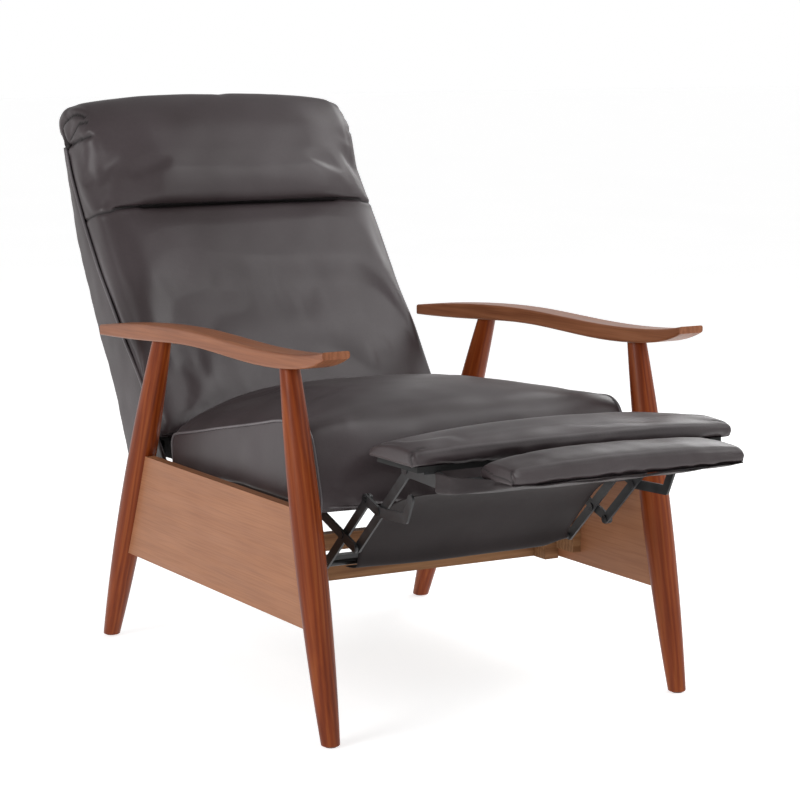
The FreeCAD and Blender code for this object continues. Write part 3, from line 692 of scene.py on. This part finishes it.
def back_under(half, spine, rows):
    """The hidden rear of the padding, on the frame's seam line."""
    swell = np.sin(np.pi * np.clip(rows / (len(BACK_SIDE) - 1), 0, 1))[:, None] ** 0.5
    lift = np.array(BACK_FRONTWARD) * BACK_HOLLOW * swell
    return [(x, spine + lift) for x in np.linspace(half - 8, -half + 8, 12)]


back_pad = Cover(
    BACK_MIDDLE, BACK_SIDE, back_spine(), BACK_HALF, edge=24, step=8.5, crown=back_crown, under=back_under,
    side_bulge=3.0, side_steps=9)
back_obj = back_pad.build("back_cushion_cover")
head_seam = back_pad.row_line(SEAM_ROW)
inflate(back_obj, back_pad.held([head_seam], 3.0), pressure=3.0, cap=6)
subdivide(back_obj)
ripple(back_obj, 0.4, seed=3, scale=0.005)

SEAM_OUTER = 175      # outside this the head's seam is a plain stitched line
FOLD_OUTER = 205      # inside this the head hangs over it in a deep fold
left_seam = np.array([p for p in head_seam if p[0] > SEAM_OUTER])
right_seam = np.array([p for p in head_seam if p[0] < -SEAM_OUTER])
# the head's seam and deep fold, pressed in with painted shade along them
press(back_obj, left_seam, depth=2.2, width=3.2)
press(back_obj, right_seam, depth=2.2, width=3.2)
press(back_obj, back_pad.row_line(SEAM_ROW, -FOLD_OUTER, FOLD_OUTER), depth=7.0, width=7.0, puff=0.1)

# the pleats that gather the roll's ends, each with painted shade along it: line, depth, width
PLEATS = (
    (((696, 891), (714, 906), (725, 925), (706, 943), (671, 956), (643, 959)), 5.0, 4.2),
    (((691, 902), (673, 920), (661, 933), (632, 945)), 2.6, 3.2),
    (((698, 889), (663, 901), (623, 913), (606, 920)), 4.5, 4.2),
)
SHALLOW_SHARE = 0.45  # the pleats on the sitter's left are pulled less deep
for sign, share, puff in ((-1, 1.0, 0.22), (1, SHALLOW_SHARE, 0)):
    for line, depth, width in PLEATS:
        pleat = across_at(sign * (BACK_HALF + 1.0), through(line, [6] * (len(line) - 1)))
        press(back_obj, pleat, depth * share, width, puff=puff)
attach(back_obj, "back")
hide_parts("back_cushion", "head_cushion")

PIPING_RADIUS = 3.0
PIPING_SPANS = 12
piping_profile = along(PIPING_PATH[1:] + PIPING_HEAD[1:], np.linspace(0, 1, PIPING_SPANS + 1))
side_piping = through(across_at(BACK_HALF + 3.2, piping_profile), [5] * PIPING_SPANS)
for sign, side_name in SIDES:
    tube("back_piping_" + side_name, mirrored(side_piping, sign), PIPING_RADIUS, PIPING_LEATHER_PAINTED_HIGHLIGHT, "back")

# ---------------------------------------------------------------- back: rear cover

REAR_OUTLINE = (
    (442, 334), (476, 403), (510, 463), (559, 534), (603, 605), (657, 695), (692, 788), (713, 844),
    (724, 884),
)
REAR_EDGE = 12
REAR_EDGE_SHARE = 0.4
REAR_ARC = 5
REAR_SWELL = 5
REAR_THICKNESS = 2.0
SEAM_LOWER = ((262, 342), (301, 386)) + PIPING_PATH[2:]
rear_line = through(REAR_OUTLINE, [8] * (len(REAR_OUTLINE) - 1))


def rear_cover():
    """The leather over the wooden frame: two sides from the piping and the rear panel, open below."""
    shares = np.linspace(0, 1, 70)
    seam = along(SEAM_LOWER + PIPING_HEAD[1:], shares)
    rear = along(rear_line, shares)
    lengths = np.linalg.norm(seam - rear, axis=1)
    inward = (seam - rear) / lengths[:, None]
    half = BACK_HALF - 0.5
    edge = rear + inward * np.minimum(REAR_EDGE, REAR_EDGE_SHARE * lengths)[:, None]
    side = [(half + 2.0 * math.sin(math.pi * f), seam + (edge - seam) * f) for f in np.linspace(0, 1, 12)]
    for k in range(REAR_ARC - 1, -1, -1):
        angle = math.pi / 2 * k / REAR_ARC
        depth = np.minimum(REAR_EDGE * (1 - math.cos(angle)), REAR_EDGE_SHARE * lengths)
        side.append((half - REAR_EDGE + REAR_EDGE * math.sin(angle), rear + inward * depth[:, None]))
    columns = [across_at(-x, profile) for x, profile in side]
    flat = half - REAR_EDGE
    for x in np.linspace(-flat, flat, 56)[1:-1]:
        swell = REAR_SWELL * (1 - (abs(x) / flat) ** 3) * np.sin(np.pi * shares) ** 0.6
        columns.append(across_at(x, rear - inward * swell[:, None]))
    columns += [across_at(x, profile) for x, profile in reversed(side)]
    obj = sheet_mesh("back_rear_cover", columns, LEATHER, REAR_THICKNESS, -1)
    b = bmesh.new()
    b.from_mesh(obj.data)
    bmesh.ops.recalc_face_normals(b, faces=b.faces)
    b.to_mesh(obj.data)
    b.free()
    ripple(obj, 0.5, seed=8)
    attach(obj, "back")
    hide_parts("back_cover")


rear_cover()
WELT_RADIUS = 1.8
welt_corner = across_at(BACK_HALF - 3.5, rear_line + np.array([-3.0, 2.0]))
for sign, side_name in SIDES:
    tube("back_rear_welt_" + side_name, mirrored(welt_corner, sign), WELT_RADIUS, WELT_LEATHER, "back")

# ---------------------------------------------------------------- seat

SEAT_HALF = 294
SEAT_MIDDLE = (
    (236, 396), (258, 404), (270, 426), (262, 450), (228, 465), (194, 474), (120, 487), (54, 495.5),
    (-20, 502), (-79, 505.5), (-130, 507), (-175, 506.5), (-215, 504.5), (-250, 502), (-277, 496),
    (-295, 484), (-304, 466), (-312, 440), (-322, 405), (-332, 368), (-328, 351),
)
SEAT_SIDE = (
    (226, 340), (233, 366), (235, 388), (226, 401), (205, 406.5), (180, 411), (110, 424), (50, 436),
    (-20, 449), (-79, 460), (-130, 470), (-175, 479), (-215, 483.5), (-247, 486.5), (-272, 486),
    (-291, 477), (-302, 462), (-310, 438), (-320, 405), (-330, 368), (-326, 352),
)
SEAT_BOTTOM = 349.6
SEAT_REAR_DROP = 14
SEAT_UNDERSIDE = 396
SEAT_RAIL_OUT = 272
FRONT_WRAP_ROW = 14.5


def seat_spine():
    """The bottom of the seat's sides, a little lower behind."""
    ys = [226, 224, 220, 214, 205, 180, 110, 50, -20, -79, -130, -175, -215, -247, -272, -291, -302, -310,
          -318, -324, -326]
    return [(y, SEAT_BOTTOM - SEAT_REAR_DROP * smoothstep(y, 0, 120)) for y in ys]


def seat_crown(s, row):
    return (1 - s ** 3) ** 0.7


def seat_under(half, spine, rows):
    """The seat's underside, hollow over its frame, with the cover turned in at the sides and front."""
    low = spine.copy()
    high = spine.copy()
    front = rows > FRONT_WRAP_ROW
    high[:, 1] = np.where(front, SEAT_BOTTOM, SEAT_UNDERSIDE)
    high[:, 0] = np.where(front, np.minimum(high[:, 0], -287), np.maximum(high[:, 0], -285))
    high[:, 0] += np.where(rows < 4, (4 - rows) * 3, 0)
    inner_half = SEAT_RAIL_OUT - 0.6
    inner = [(x, high) for x in np.linspace(inner_half, -inner_half, 14)]
    return [(SEAT_RAIL_OUT, low)] + inner + [(-SEAT_RAIL_OUT, low)]


seat = Cover(
    SEAT_MIDDLE, SEAT_SIDE, seat_spine(), SEAT_HALF, edge=3, step=9, crown=seat_crown, under=seat_under,
    side_bulge=2.0, side_steps=7)
seat_obj = seat.build("seat_cushion_cover")
seat_welt = seat.edge_line()
inflate(seat_obj, seat.held([seat_welt, mirrored(seat_welt)], 5.0), pressure=3.0, cap=7)
subdivide(seat_obj)
ripple(seat_obj, 0.5, seed=5, scale=0.006)
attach(seat_obj, "seat")
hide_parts("seat_cushion")

SEAT_PIPING_RADIUS = 2.3
welt_path = seat_welt + np.array([1.2, 0, 0])
for sign, side_name in SIDES:
    tube("seat_piping_" + side_name, mirrored(welt_path, sign), SEAT_PIPING_RADIUS, PIPING_LEATHER_PAINTED_HIGHLIGHT, "seat")

# ---------------------------------------------------------------- footrest pads

MAIN_HALF = 292
MAIN_BASE = 463.2
MAIN_MIDDLE = (
    (-490, MAIN_BASE), (-478, 464.5), (-470, 469), (-469, 478), (-472, 489), (-488, 502), (-530, 512),
    (-575, 507), (-600, 498), (-614, 488.5), (-618, 480), (-615, 470), (-607, 464.5), (-594, MAIN_BASE),
)
MAIN_SIDE = (
    (-490, MAIN_BASE), (-479, 464), (-472, 466.5), (-470, 471), (-473, 477), (-487, 483), (-530, 489.5),
    (-575, 490), (-600, 488), (-613, 483), (-617, 476), (-614.5, 469), (-607, 464.3), (-594, MAIN_BASE),
)
FLIPPER_HALF = 208
FLIPPER_BASE = 449.0
FLIPPER_MIDDLE = (
    (-682, FLIPPER_BASE), (-671, 450.5), (-664.5, 456), (-664, 467), (-667, 478), (-679, 485.5),
    (-705, 489), (-735, 486), (-753, 478), (-760.5, 467), (-759, 457), (-752, 451), (-742, FLIPPER_BASE),
)
FLIPPER_SIDE = (
    (-682, FLIPPER_BASE), (-671, 450), (-665.5, 453.5), (-664.5, 461), (-668, 468), (-680, 473.5),
    (-705, 476.5), (-735, 475.5), (-752, 472), (-760, 465), (-758.5, 456.5), (-751, 450.5),
    (-742, FLIPPER_BASE),
)
PAD_INSET = 9
RIM_WIDTH = 40
TUCK_HEIGHT = 9
TUCK_DEPTH = 5
MAIN_BORDER, FLIPPER_BORDER = 9, 8     # the rows along the pads' front borders


def flat_under(half, spine, rows):
    return [(x, spine) for x in np.linspace(half - 10, 10 - half, 10)]


def pad_crown(s, row):
    return (1 - s ** 2.3) ** 0.85


def footrest_pad(name, middle, side, half, base, body, nodes, edge, seed, border):
    """A pad's cover: crowned above and tucked in below, where it meets or takes in its board."""
    rear, front = side[2][0] - PAD_INSET, side[-3][0] + PAD_INSET
    spine = [(min(max(y, front), rear), base) for y, z in side]
    pad = Cover(
        middle, side, spine, half, edge=edge, step=7, crown=pad_crown, under=flat_under,
        side_bulge=0.5, side_steps=5)
    obj = pad.build(name)
    inflate(obj, pad.held([pad.row_line(border)], 3.0), pressure=2.0, cap=4)
    subdivide(obj)
    points = points_of(obj)
    low = 1 - smoothstep(points[:, 2], base, base + TUCK_HEIGHT)
    rim = smoothstep(np.abs(points[:, 0]), half - RIM_WIDTH, half)
    points[:, 0] -= np.sign(points[:, 0]) * TUCK_DEPTH * (1 - (1 - low ** 2) ** 0.5) * rim
    move_points(obj, points)
    ripple(obj, 0.3, seed)
    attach(obj, body)
    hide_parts(*nodes)
    return pad, obj


main_pad, main_obj = footrest_pad(
    "main_pad_cover", MAIN_MIDDLE, MAIN_SIDE, MAIN_HALF, MAIN_BASE, "footrest",
    ("main_footrest_pad",), edge=9, seed=11, border=MAIN_BORDER)
flipper, flipper_obj = footrest_pad(
    "flipper_pad_cover", FLIPPER_MIDDLE, FLIPPER_SIDE, FLIPPER_HALF, FLIPPER_BASE,
    "flipper", ("flipper_pad", "flipper_board"), edge=6, seed=12, border=FLIPPER_BORDER)

# the front border seams of the pads, pressed in with a little painted shade
press(main_obj, main_pad.row_line(MAIN_BORDER, -284, 284), 0.9, 2.2, 0.35)
press(flipper_obj, flipper.row_line(FLIPPER_BORDER, -198, 198), 0.8, 2.0, 0.3)

# folds at the pads' corners, on the +X side, with painted shade in them: cover, line, depth, width, shade
CORNER_FOLDS = (
    (main_obj, ((291, -612, 467), (290, -606, 483)), 1.2, 2.2, 0.8),
    (main_obj, ((290, -606, 483), (266, -599, 490)), 0.8, 2.0, 0.6),
    (flipper_obj, ((206, -757, 455), (203, -748, 470)), 1.0, 1.8, 0.8),
    (flipper_obj, ((207, -757, 457), (207, -700, 461), (206, -667, 467)), 0.9, 1.6, 0.8),
)
for sign, _ in SIDES:
    for cover, line, depth, width, shade in CORNER_FOLDS:
        press(cover, mirrored(line, sign), depth, width, shade)

# ---------------------------------------------------------------- apron and the leather under the flipper


SHEET_THICKNESS = 1.4
APRON_HALF = 205
APRON_LINE = (
    (-236, 238.5), (-258, 240), (-275, 246), (-286, 272), (-326, 313), (-369, 353), (-425, 379), (-486, 396),
    (-560, 411),
)
APRON_SAG, APRON_WAVE, APRON_SWAY = 7, 2.5, 1.2
APRON_TUCK = 18


def apron_column(x, line, reach):
    """The apron's line at a distance from the middle: it sags, waves and curls up at its left corner."""
    across = x / APRON_HALF
    sag = APRON_SAG * (1 - abs(across) ** 2) * np.sin(np.pi * reach)
    hang = sag + APRON_WAVE * np.sin(9 * reach + 2.2 * x / APRON_HALF) * (1 - abs(across) ** 4)
    sway = APRON_SWAY * np.sin(5.0 * x / APRON_HALF + 4 * reach)
    loose = np.sin(np.pi * reach)[:, None] ** 0.5
    line = line + np.column_stack([0.55 * hang + sway * 0.4, -0.7 * hang + sway * 0.4]) * loose
    tuck = smoothstep(across, 0.78, 1.0) * (1 - smoothstep(reach, 0.0, 0.4)) * APRON_TUCK
    line = line + np.column_stack([-0.3 * tuck, tuck])
    return np.column_stack([np.full(len(line), x * (1 - 0.02 * (1 - reach))), line])


apron_side = through(APRON_LINE, [6] * (len(APRON_LINE) - 1))
apron_reach = np.linspace(0, 1, len(apron_side))
apron_columns = [apron_column(x, apron_side, apron_reach) for x in np.linspace(-APRON_HALF, APRON_HALF, 52)]
apron_obj = sheet_mesh("apron_leather_sheet", apron_columns, APRON_LEATHER_PAINTED_SHADE, SHEET_THICKNESS)
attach(apron_obj, "long_link")
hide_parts("apron")
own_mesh(apron_obj)

BAND_FLOOR = ((-600, 420), (-610, 421), (-632, 423.5), (-664, 429), (-710, 439), (-740, 446), (-756, 450.5))
BAND_TOP = ((-600, 454), (-610, 454), (-632, 454), (-664, 453), (-710, 452.5), (-740, 452), (-756, 451.5))
BAND_START = -606
BAND_WIDE, BAND_NARROW = 249, 206
BAND_TAPER = (-650, -706)
BAND_CORNER = 7
BAND_SAG, BAND_WAVE = 3.5, 0.9


def band_columns():
    """The leather that hangs under the flipper and round the ends of its brackets."""
    floor = through(BAND_FLOOR, [9] * (len(BAND_FLOOR) - 1))
    top = through(BAND_TOP, [9] * (len(BAND_TOP) - 1))
    keep = floor[:, 0] <= BAND_START
    floor, top = floor[keep], top[keep]
    half = BAND_WIDE - (BAND_WIDE - BAND_NARROW) * smoothstep(-floor[:, 0], -BAND_TAPER[0], -BAND_TAPER[1])
    height = (top - floor)[:, 1]
    corner = np.minimum(BAND_CORNER, 0.6 * height)
    still = np.zeros(len(floor))
    side = []
    for f in np.linspace(1, 0, 7):
        wall = floor + np.column_stack([still, corner + (height - corner) * f])
        side.append(np.column_stack([half - 1.5 * math.sin(math.pi * f), wall]))
    for k in (1, 2, 3, 4):
        angle = math.pi / 2 * k / 4
        side.append(np.column_stack([
            half - BAND_CORNER * (1 - math.cos(angle)),
            floor + np.column_stack([still, corner * (1 - math.sin(angle))]),
        ]))
    columns = [mirrored(column) for column in side]
    for f in np.linspace(-1, 1, 44)[1:-1]:
        sag = BAND_SAG * (1 - abs(f) ** 2.5) + BAND_WAVE * math.sin(14 * f)
        columns.append(np.column_stack([(half - BAND_CORNER) * f, floor - np.array([0, sag])]))
    return columns + side[::-1]


band = sheet_mesh("band_under_flipper", band_columns(), BAND_LEATHER, SHEET_THICKNESS)
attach(band, "flipper")
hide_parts("flipper_band")
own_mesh(band)

# ---------------------------------------------------------------- floor

FLOOR_REACH = 40
FLOOR_LEVEL = -0.0002
FLOOR_GLOW = 0.72     # the paper shines a little, which keeps it white as far as the horizon
paper = Surface("floor_paper", 0.8)
paper_shade = paper.ramp(paper.noise(1.5, 2), [(0.3, (0.60, 0.60, 0.60)), (0.7, (0.64, 0.64, 0.64))])
paper.shader.inputs["Emission Color"].default_value = (1, 1, 1, 1)
paper.shader.inputs["Emission Strength"].default_value = FLOOR_GLOW
floor_mesh = bpy.data.meshes.new("floor")
floor_mesh.from_pydata(
    [(x * FLOOR_REACH, y * FLOOR_REACH, FLOOR_LEVEL) for x, y in ((-1, -1), (1, -1), (1, 1), (-1, 1))], [],
    [(0, 1, 2, 3)])
floor_mesh.materials.append(paper.finish(paper_shade))
floor = bpy.data.objects.new("floor", floor_mesh)
scene.collection.objects.link(floor)

bpy.context.view_layer.update()
